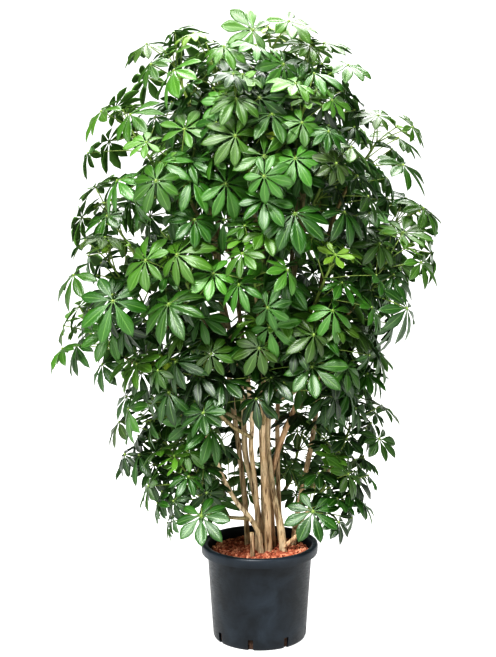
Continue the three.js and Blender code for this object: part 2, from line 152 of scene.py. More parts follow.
# The nursery pot: black polypropylene, injection moulded and thin, with a tapered wall, a turned-down lip to lift it
# by, and drain slots round its foot. Handling has left it dull, with paler smudges, and its lip is painted paler, a
# painted highlight where light from above falls on it.
# The profile is radius and height in mm, up the outside and down the inside.
MM = 0.001
POT_PROFILE = [
    (0, 0), (116, 0), (123, 0.6), (126.6, 3), (128, 8), (129, 24), (133, 84), (138, 160), (142.6, 232), (144, 246),
    (145.5, 251.5), (149, 253), (154, 252.8), (155.6, 250), (156.4, 241), (157.4, 239), (158.6, 239.2), (159.3, 242),
    (159.8, 252), (159.9, 258), (158.8, 262.6), (156, 264.8), (152, 265), (147.5, 264.7), (144, 263), (142.2, 259),
    (141.4, 250), (139.6, 229), (124, 20), (122.6, 6), (120, 3.2), (0, 3),
]
POT_STEPS = 96
WELD_DISTANCE = 1e-5
DRAIN_SLOTS = 8
DRAIN_TURN_DEG = -11
DRAIN_CUTTER_SIZE = (0.014, 0.024, 0.062)
DRAIN_CUTTER_RADIUS = 0.128
SHARP_EDGE_DEG = 50
pot_bm = bmesh.new()
rim = [pot_bm.verts.new((0, -r * MM, z * MM)) for r, z in POT_PROFILE]
profile_edges = [pot_bm.edges.new(pair) for pair in zip(rim, rim[1:])]
bmesh.ops.spin(
    pot_bm, geom=rim + profile_edges, cent=(0, 0, 0), axis=(0, 0, 1), angle=2 * math.pi, steps=POT_STEPS,
    use_merge=True,
)
bmesh.ops.remove_doubles(pot_bm, verts=pot_bm.verts, dist=WELD_DISTANCE)
bmesh.ops.recalc_face_normals(pot_bm, faces=pot_bm.faces)

# Polypropylene from a mould: blue-black and half dull, with smudges a hand wide, scratches round the wall, a painted
# highlight that makes the lip paler, and a fine grain, which is drawn about 1 mm wide, coarser than it is, so that
# it shows.
polypropylene, pot_shader = new_material("moulded_polypropylene", 0.5, Specular_IOR_Level=0.34)
place = node(polypropylene, "ShaderNodeTexCoord")
smudge_noise = node(
    polypropylene, "ShaderNodeTexNoise", {"Scale": 11, "Detail": 5, "Roughness": 0.6, "Distortion": 0.6},
    Vector=place.outputs["Object"],
)
smudges = node(
    polypropylene, "ShaderNodeMapRange", {"From Min": 0.4, "From Max": 0.75, "To Max": 0.7},
    Value=smudge_noise.outputs["Fac"],
)
pot_parts = node(polypropylene, "ShaderNodeSeparateXYZ", Vector=place.outputs["Object"])
# The lip, from 236 mm up, is painted paler: a painted highlight where light from above falls on it.
lip_painted_highlight = node(
    polypropylene, "ShaderNodeMapRange", {"From Min": 0.236, "From Max": 0.262, "To Max": 0.5},
    Value=pot_parts.outputs["Z"],
)
smudge_and_highlight_share = node(
    polypropylene, "ShaderNodeMath", {"operation": "ADD", "use_clamp": True},
    i0=smudges.outputs["Result"], i1=lip_painted_highlight.outputs["Result"],
)
scratch_place = node(polypropylene, "ShaderNodeMapping", {"Scale": (1, 1, 7)}, Vector=place.outputs["Object"])
scratches = node(
    polypropylene, "ShaderNodeTexNoise", {"Scale": 60, "Detail": 3}, Vector=scratch_place.outputs["Vector"]
)
# The smudges lighten the plastic at random, and the lip's painted highlight is added to them.
pot_smudges_and_highlight = node(
    polypropylene, "ShaderNodeMix", {"data_type": "RGBA", 6: linear("#0b1218"), 7: linear("#28313a")},
    i0=smudge_and_highlight_share.outputs["Value"],
)
grain = node(
    polypropylene, "ShaderNodeTexNoise", {"Scale": 900, "Detail": 2}, Vector=place.outputs["Object"]
)
pot_rough = node(
    polypropylene, "ShaderNodeMapRange", {"From Min": 0.3, "From Max": 0.7, "To Min": 0.32, "To Max": 0.52},
    Value=scratches.outputs["Fac"],
)
pot_bump = node(
    polypropylene, "ShaderNodeBump", {"Strength": 0.25, "Distance": 0.0006}, Height=grain.outputs["Fac"]
)
join_shader(
    polypropylene, pot_shader,
    Base_Color=pot_smudges_and_highlight.outputs[2], Roughness=pot_rough.outputs["Result"], Normal=pot_bump.outputs["Normal"],
)
pot = finish_piece("nursery_pot", pot_bm, [polypropylene])
slot_bm = bmesh.new()
for i in range(DRAIN_SLOTS):
    turn = Matrix.Rotation(math.radians(DRAIN_TURN_DEG + 360 * i / DRAIN_SLOTS), 4, "Z")
    size = Matrix.Diagonal((*DRAIN_CUTTER_SIZE, 1))
    foot_of_wall = Matrix.Translation((0, -DRAIN_CUTTER_RADIUS, 0))
    bmesh.ops.create_cube(slot_bm, size=1, matrix=turn @ foot_of_wall @ size)
slots = finish_piece("drain_slot_cutters", slot_bm, [], smooth=False)
cut = pot.modifiers.new("drain_slots", "BOOLEAN")
cut.object = slots
cut.solver = "EXACT"
bpy.context.view_layer.update()
cut_mesh = bpy.data.meshes.new_from_object(pot.evaluated_get(bpy.context.evaluated_depsgraph_get()))
pot.modifiers.clear()
pot.data = cut_mesh
bpy.data.objects.remove(slots)
pot_edges = pot.modifiers.new("keep_edges", "EDGE_SPLIT")
pot_edges.split_angle = math.radians(SHARP_EDGE_DEG)
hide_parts("pot")
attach(pot, "root")

# The potting compost: a dark loose mix of peat and bark that fills the pot, and shows only in the drain slots and
# between granules. It keeps the solid's own shape. Matt and near black, in crumbs of about 4 mm.
compost, compost_shader = new_material("potting_compost", 0.95)
place = node(compost, "ShaderNodeTexCoord")
crumbs = node(compost, "ShaderNodeTexVoronoi", {"Scale": 260}, Vector=place.outputs["Object"])
crumb_tone = node(
    compost, "ShaderNodeMix", {"data_type": "RGBA", 6: linear("#241912"), 7: linear("#4a3527")},
    i0=crumbs.outputs["Distance"],
)
crumb_bump = node(
    compost, "ShaderNodeBump", {"Strength": 0.6, "Distance": 0.002}, Height=crumbs.outputs["Distance"]
)
join_shader(compost, compost_shader, Base_Color=crumb_tone.outputs[2], Normal=crumb_bump.outputs["Normal"])
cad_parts["soil"].data.materials.clear()
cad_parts["soil"].data.materials.append(compost)

# The granules over the compost: fired clay, broken to 5 to 15 mm and strewn by hand on a thin layer of its own
# dust. They lie clear of the stems' feet, each given as x, y and radius in mm.
DRESSING_RADIUS = 0.1385
DRESSING_TOP = 0.2405
DUST_TOP = 0.2365
DUST_DEPTH = 0.0065
DUST_SIDES = 64
GRANULES = 1900
GRANULE_SEED = 7
GRANULE_RADIUS = (0.0034, 0.0062)
GRANULE_STRETCH = (0.75, 1.2)
GRANULE_LIFT = (-0.004, 0.0015)
GRANULE_TUMBLE = 6.3
GRANULE_CHIP = 0.0009
SINK_AT_RIM = 0.003
RIM_CLEARANCE = 0.003
STEM_CLEARANCE_SHARE = 0.7
STEM_FEET = [
    (2, 38, 9), (-6, 8, 7), (24, -5, 11), (66, -5, 10.5), (38, 35, 9.5), (58, 66, 7), (12, 78, 8), (-32, 58, 8),
    (92, 42, 8), (6, -24, 8), (-20, -49, 6.5),
]
granule_draw = random.Random(GRANULE_SEED)
granule_bm = bmesh.new()
granule_tone = granule_bm.verts.layers.float_color.new("tone")
bmesh.ops.create_circle(
    granule_bm, cap_ends=True, segments=DUST_SIDES, radius=DRESSING_RADIUS,
    matrix=Matrix.Translation((0, 0, DUST_TOP)),
)
under_layer = bmesh.ops.extrude_face_region(granule_bm, geom=granule_bm.faces[:])
bmesh.ops.translate(
    granule_bm, vec=(0, 0, -DUST_DEPTH),
    verts=[v for v in under_layer["geom"] if isinstance(v, bmesh.types.BMVert)],
)
for i in range(GRANULES):
    distance = (DRESSING_RADIUS - RIM_CLEARANCE) * math.sqrt(granule_draw.random())
    angle = granule_draw.uniform(0, 2 * math.pi)
    x, y = distance * math.cos(angle), distance * math.sin(angle)
    size = granule_draw.uniform(*GRANULE_RADIUS)
    reach = STEM_CLEARANCE_SHARE * size
    if any(math.hypot(x - sx * MM, y - sy * MM) < r * MM + reach for sx, sy, r in STEM_FEET):
        continue
    lift = granule_draw.uniform(*GRANULE_LIFT) - SINK_AT_RIM * (distance / DRESSING_RADIUS) ** 4
    shape = Matrix.Diagonal([size * granule_draw.uniform(*GRANULE_STRETCH) for _ in range(3)] + [1])
    tumble = granule_draw.uniform(0, GRANULE_TUMBLE)
    turn = Matrix.Rotation(tumble, 4, Vector((granule_draw.random(), granule_draw.random(), 1)))
    spot = Matrix.Translation((x, y, DRESSING_TOP + lift))
    made = bmesh.ops.create_icosphere(granule_bm, subdivisions=1, radius=1, matrix=spot @ turn @ shape)
    shade = granule_draw.random()
    for vert in made["verts"]:
        vert.co += Vector([granule_draw.uniform(-GRANULE_CHIP, GRANULE_CHIP) for _ in range(3)])
        vert[granule_tone] = (shade, granule_draw.random(), 0, 1)
bmesh.ops.recalc_face_normals(granule_bm, faces=granule_bm.faces)

# Fired clay, broken and unglazed: quite matt, brick red to pale, one tone to a granule, with pits of about 1 mm.
fired_clay, clay_shader = new_material("fired_clay_granules", 0.9)
clay_place = node(fired_clay, "ShaderNodeTexCoord")
clay_tone = node(fired_clay, "ShaderNodeAttribute", {"attribute_name": "tone"})
clay_shade = node(fired_clay, "ShaderNodeSeparateColor", Color=clay_tone.outputs["Color"])
clay_ramp = node(fired_clay, "ShaderNodeValToRGB", Fac=clay_shade.outputs["Red"])
clay_ramp.color_ramp.elements[0].color = linear("#7a3e2c")
clay_ramp.color_ramp.elements[1].color = linear("#dea486")
clay_middle = clay_ramp.color_ramp.elements.new(0.55)
clay_middle.color = linear("#b0674d")
clay_pits = node(fired_clay, "ShaderNodeTexNoise", {"Scale": 700, "Detail": 3}, Vector=clay_place.outputs["Object"])
clay_bump = node(fired_clay, "ShaderNodeBump", {"Strength": 0.5, "Distance": 0.001}, Height=clay_pits.outputs["Fac"])
join_shader(fired_clay, clay_shader, Base_Color=clay_ramp.outputs["Color"], Normal=clay_bump.outputs["Normal"])
granules = finish_piece("clay_granules", granule_bm, [fired_clay], smooth=False)
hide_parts("granule_dressing")
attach(granules, "root")

# The stems: woody and bare, smooth pale bark with brown streaks along it and faint rings where old leaves fell. Each
# runs up from the soil, bends as it found light, and sends out side branches that carry the leafy shoots.
STEM_RING_SPACING = 0.014
STEM_SIDES = 14
LEADER_END_RADIUS_MM = 4.5
BRANCH_RADII_MM = (5.4, 4.3)
BRANCH_RING_SPACING = 0.02
BRANCH_FEWEST_RINGS = 6
BRANCH_SIDES = 10
BRANCH_BEND = 0.4
BRANCH_STEPS = (0, 0.275, 0.55, 0.775, 1)
# The branches' share of dark olive: partly young bark, partly painted shade inside the crown.
BRANCH_YOUTH_AND_SHADE = 0.55
FORK_RADII_MM = (6.6, 5.6)
STUB_RADII_MM = (6.5, 5.5)
CUT_END_SIDES = 12
STEM_LUMPS, LUMPS_STEP = 31, 3
BRANCH_LUMPS = 17
FORK_LUMPS = 9
STUB_LUMPS = 7
SWELLING = 0.05
RIDGE = 0.045
RIDGE_TWIST = 9
FOOT_FLARE = 0.22
FLARE_FADE = 28
RED_STEM = "right"
RED_STEM_SHARE = 0.4
REDNESS_STEP = 0.08
FORK_REDNESS = 0.3
STUB_REDNESS = 0.2
SEAM_SIDE = (0.31, 0.95, 0.05)
SEAM_WELD_DISTANCE = 1e-6

# For each stem, in mm: its radius at the foot, and its course from under the soil's top.
STEMS = {
    "left": (9, [
        (2, 38, 205), (-6, 34, 346), (-36, 18, 489), (-42, 12, 560), (-46, 6, 666),
        (-75, 0, 820), (-110, 0, 1000), (-135, -5, 1200), (-160, -10, 1330),
    ]),
    "left_front": (7, [
        (-6, 8, 205), (-8, 8, 382), (-23, -8, 525), (-21, -20, 605), (-35, -45, 760),
        (-60, -75, 960), (-80, -90, 1160), (-90, -95, 1330),
    ]),
    "middle": (11, [
        (24, -5, 205), (22, -8, 346), (9, -18, 525), (8, -25, 634), (15, -50, 800),
        (10, -75, 1000), (5, -80, 1200), (15, -70, 1380),
    ]),
    "right_front": (10.5, [
        (66, -5, 205), (62, -4, 273), (50, 0, 346), (34, 6, 417), (24, 12, 506), (22, 16, 560),
        (30, 10, 700), (60, -20, 850), (90, -50, 1000), (110, -60, 1180), (122, -60, 1320),
    ]),
    "right": (9.5, [
        (38, 35, 205), (30, 36, 346), (28, 34, 410), (38, 28, 470), (65, 16, 560), (99, 4, 648),
        (111, 0, 690), (140, 0, 820), (165, 5, 980), (185, 8, 1110),
    ]),
    "behind": (7, [
        (58, 66, 205), (52, 60, 400), (49, 50, 560), (50, 50, 640), (60, 70, 800), (85, 95, 1000),
        (100, 105, 1200), (105, 110, 1330),
    ]),
    "back": (8, [
        (12, 78, 205), (10, 85, 400), (5, 100, 600), (5, 135, 1000), (12, 140, 1130),
    ]),
    "back_left": (8, [
        (-32, 58, 205), (-45, 70, 400), (-95, 95, 800), (-110, 100, 1000), (-115, 100, 1200), (-110, 95, 1330),
    ]),
    "back_right": (8, [
        (92, 42, 205), (100, 48, 300), (125, 60, 430), (150, 75, 560), (165, 90, 700), (175, 100, 840),
    ]),
    "low_left": (8, [
        (6, -24, 205), (4, -24, 250), (-3, -26, 296), (-29, -32, 346), (-63, -38, 388), (-97, -42, 453),
        (-130, -46, 540), (-165, -50, 630),
    ]),
}
# For each leafy shoot, in mm: its stem, the height where its branch leaves that stem, its foot and its tip.
SHOOTS = [
    ("low_left", 340, (-146, -75, 392), (-198, -105, 494)),
    ("low_left", 430, (-222, 20, 480), (-285, 35, 580)),
    ("back_right", 290, (134, -66, 376), (190, -94, 472)),
    ("back_right", 380, (208, 15, 492), (255, 20, 598)),
    ("back", 330, (95, 190, 410), (125, 245, 520)),
    ("back_left", 340, (-120, 165, 430), (-160, 215, 540)),
    ("low_left", 630, (-210, -95, 650), (-258, -118, 742)),
    ("left", 600, (-365, 40, 770), (-465, 45, 840)),
    ("left_front", 560, (-130, -150, 700), (-155, -210, 800)),
    ("middle", 600, (20, -170, 740), (15, -230, 850)),
    ("right_front", 660, (118, -158, 760), (142, -213, 860)),
    ("right", 640, (165, -30, 695), (195, -45, 800)),
    ("back_right", 840, (250, 140, 930), (300, 170, 1035)),
    ("back", 560, (20, 230, 720), (20, 290, 830)),
    ("back_left", 560, (-190, 180, 700), (-240, 230, 800)),
    ("left", 800, (-320, -120, 950), (-385, -145, 1050)),
    ("left", 860, (-335, 75, 1045), (-405, 88, 1145)),
    ("left_front", 800, (-160, -198, 940), (-195, -258, 1040)),
    ("middle", 850, (-10, -235, 980), (-15, -295, 1080)),
    ("right_front", 860, (140, -200, 950), (175, -258, 1050)),
    ("right", 800, (262, -100, 950), (330, -120, 1050)),
    ("right", 900, (290, 45, 1040), (365, 55, 1135)),
    ("back_right", 600, (190, 180, 700), (230, 235, 800)),
    ("back", 830, (30, 250, 1000), (35, 315, 1100)),
    ("back_left", 820, (-200, 200, 960), (-250, 255, 1060)),
    ("left", 1060, (-275, -60, 1295), (-335, -80, 1392)),
    ("left_front", 1060, (-170, -185, 1200), (-205, -240, 1300)),
    ("middle", 1080, (-20, -210, 1220), (-30, -265, 1320)),
    ("right_front", 1040, (130, -185, 1180), (165, -235, 1280)),
    ("right", 1110, (240, -30, 1250), (305, -40, 1352)),
    ("behind", 1100, (190, 150, 1220), (235, 195, 1320)),
    ("back", 1130, (20, 215, 1250), (20, 270, 1350)),
    ("back_left", 1080, (-175, 170, 1230), (-220, 215, 1325)),
    ("left", 1330, (-182, -30, 1445), (-220, -40, 1548)),
    ("left_front", 1330, (-100, -110, 1430), (-115, -140, 1535)),
    ("left_front", 1240, (-45, -180, 1340), (-60, -225, 1440)),
    ("middle", 1380, (25, -75, 1478), (30, -90, 1582)),
    ("right_front", 1320, (112, -70, 1430), (118, -82, 1530)),
    ("right_front", 1200, (85, -170, 1320), (105, -215, 1420)),
    ("behind", 1330, (90, 105, 1430), (105, 135, 1530)),
    ("back_left", 1330, (-95, 105, 1430), (-115, 135, 1530)),
]
STUB_COURSE = [(-19, -50, 205), (-20, -49, 260), (-21, -48, 306)]
FORK_COURSE = [(65, -6, 250), (82, -10, 266), (104, -14, 288)]


def metres(point):
    return Vector(point) * MM


def blend(a, b, share):
    return a + (b - a) * share


def point_at_height(course, z):
    upper = next(i for i in range(1, len(course)) if course[i][2] >= z)
    share = (z - course[upper - 1][2]) / (course[upper][2] - course[upper - 1][2])
    return metres(course[upper - 1]).lerp(metres(course[upper]), share)


def branch_points(stem, height, foot, top):
    start = point_at_height(STEMS[stem][1], height)
    foot, top = metres(foot), metres(top)
    bend = foot - (top - foot).normalized() * BRANCH_BEND * (foot - start).length
    return [start * (1 - t) ** 2 + bend * 2 * t * (1 - t) + foot * t * t for t in BRANCH_STEPS]


def run_length(points):
    return sum((b - a).length for a, b in zip(points, points[1:]))


# A point on the smooth curve through all the points, at a position counted in points.
def smooth_point(points, position):
    i = min(int(position), len(points) - 2)
    t = position - i
    b, c = points[i], points[i + 1]
    a = points[i - 1] if i else b * 2 - c
    d = points[i + 2] if i + 2 < len(points) else c * 2 - b
    return 0.5 * (2 * b + (c - a) * t + (2 * a - 5 * b + 4 * c - d) * t ** 2 + (3 * b - a - 3 * c + d) * t ** 3)


# A sheet is rolled round the curve, its seam is welded and its ends are closed. The ends' faces come back.
def add_tube(bm, points, radius_at, sides, rings, tone, tone_layer):
    made = bmesh.ops.create_grid(bm, x_segments=sides, y_segments=rings, size=1, calc_uvs=True)["verts"]
    span = len(points) - 1
    centres = [smooth_point(points, span * k / rings) for k in range(rings + 1)]
    side = Vector(SEAM_SIDE)
    ring_frames = []
    for k, centre in enumerate(centres):
        ahead, before = centres[min(k + 1, rings)], centres[max(k - 1, 0)]
        along_stem = (ahead - before).normalized()
        side = (side - along_stem * side.dot(along_stem)).normalized()
        ring_frames.append((centre, side.copy(), along_stem.cross(side)))
    for vert in made:
        share = (vert.co.y + 1) / 2
        k = round(share * rings)
        angle = -math.pi * (vert.co.x + 1)
        centre, across, other = ring_frames[k]
        radius = radius_at(share, angle)
        vert.co = centre + (across * math.cos(angle) + other * math.sin(angle)) * radius
        vert[tone_layer] = tone
    faces = {face for vert in made for face in vert.link_faces}
    bmesh.ops.remove_doubles(bm, verts=made, dist=SEAM_WELD_DISTANCE)
    ends = [edge for edge in {e for f in faces if f.is_valid for e in f.edges} if edge.is_boundary]
    return bmesh.ops.holes_fill(bm, edges=ends, sides=0)["faces"]


# Smooth bark: dry and matt, tan to cream in patches, with brown streaks about 6 mm wide along the stem. One stem is
# redder, the branches and the wood high in the crown are a darker olive, partly young bark and partly painted shade
# of the crown, and old leaves have left faint rings about 10 mm apart.
pale_bark, bark_shader = new_material("smooth_pale_bark", 0.72, Specular_IOR_Level=0.3)
bark_uv = node(pale_bark, "ShaderNodeTexCoord")
bark_tone = node(pale_bark, "ShaderNodeAttribute", {"attribute_name": "tone"})
bark_parts = node(pale_bark, "ShaderNodeSeparateColor", Color=bark_tone.outputs["Color"])
along_bark = node(pale_bark, "ShaderNodeMapping", {"Scale": (1, 1, 0.12)}, Vector=bark_uv.outputs["Object"])
streaks = node(
    pale_bark, "ShaderNodeTexNoise", {"Scale": 170, "Detail": 5, "Roughness": 0.6, "Distortion": 0.4},
    Vector=along_bark.outputs["Vector"],
)
streak_share = node(
    pale_bark, "ShaderNodeMapRange", {"From Min": 0.46, "From Max": 0.68}, Value=streaks.outputs["Fac"]
)
patches = node(pale_bark, "ShaderNodeTexNoise", {"Scale": 26, "Detail": 3}, Vector=bark_uv.outputs["Object"])
bark_base = node(
    pale_bark, "ShaderNodeMix", {"data_type": "RGBA", 6: linear("#b89b70"), 7: linear("#eddfc2")},
    i0=patches.outputs["Fac"],
)
bark_streaked = node(
    pale_bark, "ShaderNodeMix", {"data_type": "RGBA", 7: linear("#5a4127")},
    i0=streak_share.outputs["Result"], i6=bark_base.outputs[2],
)
red_bark = node(
    pale_bark, "ShaderNodeMix", {"data_type": "RGBA", "blend_type": "MULTIPLY", 7: linear("#d9a183")},
    i0=bark_parts.outputs["Green"], i6=bark_streaked.outputs[2],
)
bark_place = node(pale_bark, "ShaderNodeSeparateXYZ", Vector=bark_uv.outputs["Object"])
# Wood from 0.7 m up, inside the crown, goes towards dark olive: partly young bark, partly painted shade of the
# crown.
upper_wood_shade = node(
    pale_bark, "ShaderNodeMapRange", {"From Min": 0.7, "From Max": 1.05, "To Max": 0.75},
    Value=bark_place.outputs["Z"],
)
bark_youth_and_shade = node(
    pale_bark, "ShaderNodeMath", {"operation": "MAXIMUM"},
    i0=bark_parts.outputs["Blue"], i1=upper_wood_shade.outputs["Result"],
)
young_and_shaded_bark = node(
    pale_bark, "ShaderNodeMix", {"data_type": "RGBA", 7: linear("#5c5f33")},
    i0=bark_youth_and_shade.outputs["Value"], i6=red_bark.outputs[2],
)
ring_place = node(pale_bark, "ShaderNodeMapping", {"Scale": (0.15, 0.15, 1)}, Vector=bark_uv.outputs["Object"])
leaf_scars = node(
    pale_bark, "ShaderNodeTexNoise", {"Scale": 95, "Detail": 1}, Vector=ring_place.outputs["Vector"]
)
bark_height = node(
    pale_bark, "ShaderNodeMath", {"operation": "ADD"}, i0=streaks.outputs["Fac"], i1=leaf_scars.outputs["Fac"]
)
bark_bump = node(
    pale_bark, "ShaderNodeBump", {"Strength": 0.45, "Distance": 0.0015}, Height=bark_height.outputs["Value"]
)
join_shader(pale_bark, bark_shader, Base_Color=young_and_shaded_bark.outputs[2], Normal=bark_bump.outputs["Normal"])

# Sawn end grain: bare wood, matt and paler than the bark, flecked by the saw.
cut_wood, cut_shader = new_material("sawn_end_grain", 0.8)
cut_place = node(cut_wood, "ShaderNodeTexCoord")
cut_rings = node(cut_wood, "ShaderNodeTexNoise", {"Scale": 300, "Detail": 4}, Vector=cut_place.outputs["Object"])
cut_tone = node(
    cut_wood, "ShaderNodeMix", {"data_type": "RGBA", 6: linear("#c9ad80"), 7: linear("#e6d3ac")},
    i0=cut_rings.outputs["Fac"],
)
join_shader(cut_wood, cut_shader, Base_Color=cut_tone.outputs[2])


def stem_radius(foot, top, lumps, phase):
    def radius_at(share, angle):
        ridge = RIDGE * math.sin(2 * angle + RIDGE_TWIST * share + phase)
        swell = 1 + SWELLING * math.sin(lumps * share + phase) + ridge
        flare = 1 + FOOT_FLARE * math.exp(-share * FLARE_FADE)
        return blend(foot, top, share) * MM * swell * flare
    return radius_at


def start_wood():
    bm = bmesh.new()
    bm.loops.layers.uv.new("UVMap")
    return bm, bm.verts.layers.float_color.new("tone")


for order, (name, (foot_radius, course)) in enumerate(STEMS.items()):
    wood_bm, wood_tone = start_wood()
    redness = RED_STEM_SHARE if name == RED_STEM else REDNESS_STEP * (order % 3)
    stem_points = [metres(p) for p in course]
    own = [shoot for shoot in SHOOTS if shoot[0] == name]
    leader = next(shoot for shoot in own if shoot[1] == course[-1][2])
    run = stem_points + branch_points(*leader)[2::2]
    add_tube(
        wood_bm, run, stem_radius(foot_radius, LEADER_END_RADIUS_MM, STEM_LUMPS + LUMPS_STEP * order, order),
        STEM_SIDES, round(run_length(run) / STEM_RING_SPACING), (0, redness, 0, 1), wood_tone,
    )
    for number, shoot in enumerate(own):
        if shoot is not leader:
            points = branch_points(*shoot)
            rings = max(BRANCH_FEWEST_RINGS, round(run_length(points) / BRANCH_RING_SPACING))
            add_tube(
                wood_bm, points, stem_radius(*BRANCH_RADII_MM, BRANCH_LUMPS, number), BRANCH_SIDES, rings,
                (0, redness, BRANCH_YOUTH_AND_SHADE, 1), wood_tone,
            )
    if name == "right_front":
        fork_ends = add_tube(
            wood_bm, [metres(p) for p in FORK_COURSE], stem_radius(*FORK_RADII_MM, FORK_LUMPS, 2), CUT_END_SIDES, 6,
            (0, FORK_REDNESS, 0, 1), wood_tone,
        )
        for face in fork_ends:
            face.material_index = 1
    bmesh.ops.recalc_face_normals(wood_bm, faces=wood_bm.faces)
    wood = finish_piece(f"woody_stem_{name}", wood_bm, [pale_bark, cut_wood])
    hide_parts(f"stem_{name}")
    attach(wood, "root")

stub_bm, stub_tone = start_wood()
stub_ends = add_tube(
    stub_bm, [metres(p) for p in STUB_COURSE], stem_radius(*STUB_RADII_MM, STUB_LUMPS, 1), CUT_END_SIDES, 8,
    (0, STUB_REDNESS, 0, 1), stub_tone,
)
for face in stub_ends:
    face.material_index = 1
bmesh.ops.recalc_face_normals(stub_bm, faces=stub_bm.faces)
stub = finish_piece("sawn_stub", stub_bm, [pale_bark, cut_wood])
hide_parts("cut_stub")
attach(stub, "root")

# The leafy shoots: green twigs whose long stalks each end in a star of seven to nine leathery leaflets on short
# stalks of their own. An outer leaf stands where its solid stands, by the same draws as the solid's. Older leaves
# grow further in along the wood, darker partly with age and partly as painted shade inside the crown, and two or
# three small bright ones open at each tip.
LONGEST_LEAFLET_MM = 106
LOW_SHOOT_HEIGHT = 0.62
LOW_SHOOT_LEAF_SHARE = 0.85
BACK_GAP_DEG = 64
HUB_HALF_THICKNESS_MM = 1.5
LEAVES_ON_SHOOT = 5
LEAVES_ON_FRONT_SHOOT = 6
FRONT_SHOOT_Y = -0.2
FIRST_LEAF_AT, LEAF_REACH = 0.12, 0.84
SPREAD_DEG = (84, 30)
SPREAD_SPAN_DEG = 10
STALK_MM = (152, 92)
STALK_LEAST, STALK_SPAN = 0.85, 0.3
TOP_LEAF_SHARE = 0.86
LEAF_LEAST, LEAF_SPAN = 0.66, 0.42
DROOP_LEAST, DROOP_SPAN = 0.02, 0.32
FACING = (0.35, 0.9)
AIM_OUTWARD, AIM_UP = 0.35, 0.12
NORMAL_OUTWARD, NORMAL_UP, NORMAL_SWAY = 0.3, 0.6, 0.8
LEAST_FACING, FACING_STEP = 0.5, 0.2
LOWEST_AIM = -0.12
LEAF_TURN_DEG = 137.5
FIRST_SEED = 32
TWISTS_DEG = (0, 28, -28, 56, -56, 84, -84)
LEAFLET_HALF_WIDTH = 0.18
LEAFLET_STALK_SHARE = 0.14
BLADE_THICKNESS = 0.0006
SOLID_MATCH_DISTANCE = 0.001
LEAF_SEED = 11
UP = Vector((0, 0, 1))
CROWN_MIDDLE = Vector((-0.01, 0, 0))
leaf_draw = random.Random(LEAF_SEED)


# A plain row of draws from 0 to 1, the same as the one that set out the solids' leaves.
def seeded_draws(seed):
    state = (seed * 2654435 + 12345) % 4294967296
    while True:
        state = (state * 1664525 + 1013904223) % 4294967296
        yield state / 4294967296


def flat_outward(point):
    outward = point - CROWN_MIDDLE
    outward.z = 0
    return outward.normalized()


def leaf_pose(start, stalk, aim, outward, sway, facing):
    hub = start + aim * stalk
    normal = (aim * facing + outward * NORMAL_OUTWARD + UP * NORMAL_UP + sway * NORMAL_SWAY).normalized()
    while normal.dot(aim) < LEAST_FACING:
        normal = (normal + aim * FACING_STEP).normalized()
    front = (aim - normal * aim.dot(normal)).normalized()
    return {"start": start, "hub": hub, "normal": normal, "front": front, "left": normal.cross(front)}


def longest_leaflet(top):
    return LONGEST_LEAFLET_MM * MM * (LOW_SHOOT_LEAF_SHARE if top.z < LOW_SHOOT_HEIGHT else 1)


def shoot_leaves(index, foot, top, solid):
    draws = seeded_draws(index + FIRST_SEED)
    axis = (top - foot).normalized()
    right = axis.cross(UP).normalized()
    other = axis.cross(right)
    outward = flat_outward(top)
    corners = KDTree(len(solid.data.vertices))
    for i, vertex in enumerate(solid.data.vertices):
        corners.insert(vertex.co, i)
    corners.balance()
    first_turn = 360 * next(draws)
    count = LEAVES_ON_FRONT_SHOOT if foot.y < FRONT_SHOOT_Y else LEAVES_ON_SHOOT
    leaves = []
    for i in range(count):
        share = i / (count - 1)
        start = foot.lerp(top, FIRST_LEAF_AT + LEAF_REACH * share)
        spread = math.radians(blend(*SPREAD_DEG, share) + SPREAD_SPAN_DEG * (next(draws) - 0.5))
        stalk = blend(*STALK_MM, share) * (STALK_LEAST + STALK_SPAN * next(draws)) * MM
        size = longest_leaflet(top) * blend(1, TOP_LEAF_SHARE, share) * (LEAF_LEAST + LEAF_SPAN * next(draws))
        sway = Vector((next(draws) - 0.5, next(draws) - 0.5, next(draws) - 0.5))
        droop = DROOP_LEAST + DROOP_SPAN * next(draws)
        facing = blend(*FACING, next(draws))
        tries = []
        for twist in TWISTS_DEG:
            turn = math.radians(first_turn + LEAF_TURN_DEG * i + twist)
            reach = right * math.cos(turn) + other * math.sin(turn)
            aim = axis * math.cos(spread) + reach * math.sin(spread) + outward * AIM_OUTWARD + UP * AIM_UP
            aim.normalize()
            aim.z = max(aim.z, LOWEST_AIM)
            leaf = leaf_pose(start, stalk, aim.normalized(), outward, sway, facing)
            leaf.update(size=size, droop=droop, share=share)
            off = corners.find(leaf["hub"] + leaf["normal"] * HUB_HALF_THICKNESS_MM * MM)[2]
            tries.append((off, twist, leaf))
        off, _, leaf = min(tries, key=lambda one: one[:2])
        if off < SOLID_MATCH_DISTANCE:
            leaves.append(leaf)
    return leaves


# The inner leaves keep clear of the wood, of each other's hubs, of the pot's top and of the bare stems in front.
INNER_LEAVES = 12
LOW_SHOOT_INNER_LEAVES = 18
WOOD_CLEARANCE = 0.045
HUB_CLEARANCE = 0.05
POT_CLEAR_RADIUS = 0.25
POT_CLEAR_HEIGHT = 0.34
POT_CLEAR_HEIGHT_IN_FRONT = 0.42
BARE_STEMS_X = 0.015
BARE_STEMS_HALF_WIDTH = 0.125
BARE_STEMS_BACK = 0.05
BARE_STEMS_TOP = 0.7
LOW_LEAVES_ABOVE_BRANCH_MM = (170, 85)
WOOD_SPOT_SPACING = 0.015
INNER_TRIES = 16
INNER_PLACE = (0.25, 0.93)
LOOK_AHEAD = 0.2
INNER_AHEAD, INNER_UP = 0.35, 0.2
INNER_STALK = (0.07, 0.145)
INNER_SWAY = 0.7
INNER_FACING = (0.15, 0.8)
INNER_SIZE = (0.55, 0.88)
